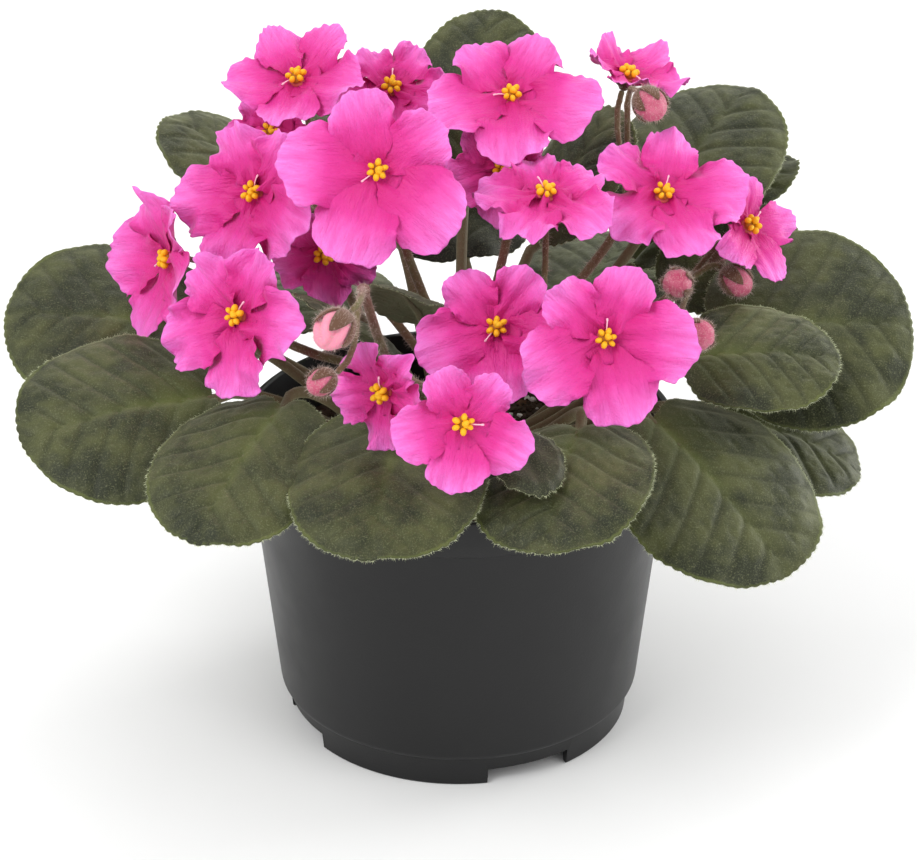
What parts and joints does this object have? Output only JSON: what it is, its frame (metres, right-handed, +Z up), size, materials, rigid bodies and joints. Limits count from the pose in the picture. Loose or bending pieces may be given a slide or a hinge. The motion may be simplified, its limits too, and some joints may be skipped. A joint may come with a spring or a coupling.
{
  "type": "potted african violet",
  "caption": "Flowering African violet with fuzzy dark green leaves, pink five-petalled flowers and buds, in a plain black nursery pot.",
  "frame": {"origin": "on the surface the pot stands on, on the pot's axis", "axes": "+Z up along the pot's axis, -Y towards the plant's best side, +X to its right"},
  "size_m": [0.2294, 0.1877, 0.1786],
  "materials": {
    "pot_plastic": "black moulded polypropylene, satin",
    "potting_mix": "damp peat with bark and perlite",
    "stem": "reddish brown, hairy",
    "leaf": "dark olive green, velvety, hairy, quilted",
    "petal": "hot pink, soft sheen, paler at the ruffled edges, golden anthers",
    "bud": "dusky pink, hairy"
  },
  "bodies": {
    "root": {"pot": "pot_plastic", "potting_mix": "potting_mix", "crown_stem": "stem", "leaf_01": "leaf", "leaf_02": "leaf", "leaf_03": "leaf", "leaf_04": "leaf", "leaf_05": "leaf", "leaf_06": "leaf", "leaf_07": "leaf", "leaf_08": "leaf", "leaf_09": "leaf", "leaf_10": "leaf", "leaf_11": "leaf", "leaf_12": "leaf", "leaf_13": "leaf", "leaf_14": "leaf", "leaf_15": "leaf", "leaf_16": "leaf", "leaf_17": "leaf", "leaf_18": "leaf", "leaf_19": "leaf", "leaf_20": "leaf", "leaf_21": "leaf", "leaf_22": "leaf", "leaf_23": "leaf", "flower_01": "petal", "flower_02": "petal", "flower_03": "petal", "flower_04": "petal", "flower_05": "petal", "flower_06": "petal", "flower_07": "petal", "flower_08": "petal", "flower_09": "petal", "flower_10": "petal", "flower_11": "petal", "flower_12": "petal", "flower_13": "petal", "flower_14": "petal", "flower_15": "petal", "flower_16": "petal", "flower_17": "petal", "flower_18": "petal", "flower_stalk_01": "stem", "flower_stalk_02": "stem", "flower_stalk_03": "stem", "flower_stalk_04": "stem", "flower_stalk_05": "stem", "flower_stalk_06": "stem", "flower_stalk_07": "stem", "flower_stalk_08": "stem", "flower_stalk_09": "stem", "bud_01": "bud", "bud_02": "bud", "bud_03": "bud", "bud_04": "bud", "bud_05": "bud", "bud_06": "bud", "bud_07": "bud"}
  },
  "joints": []
}
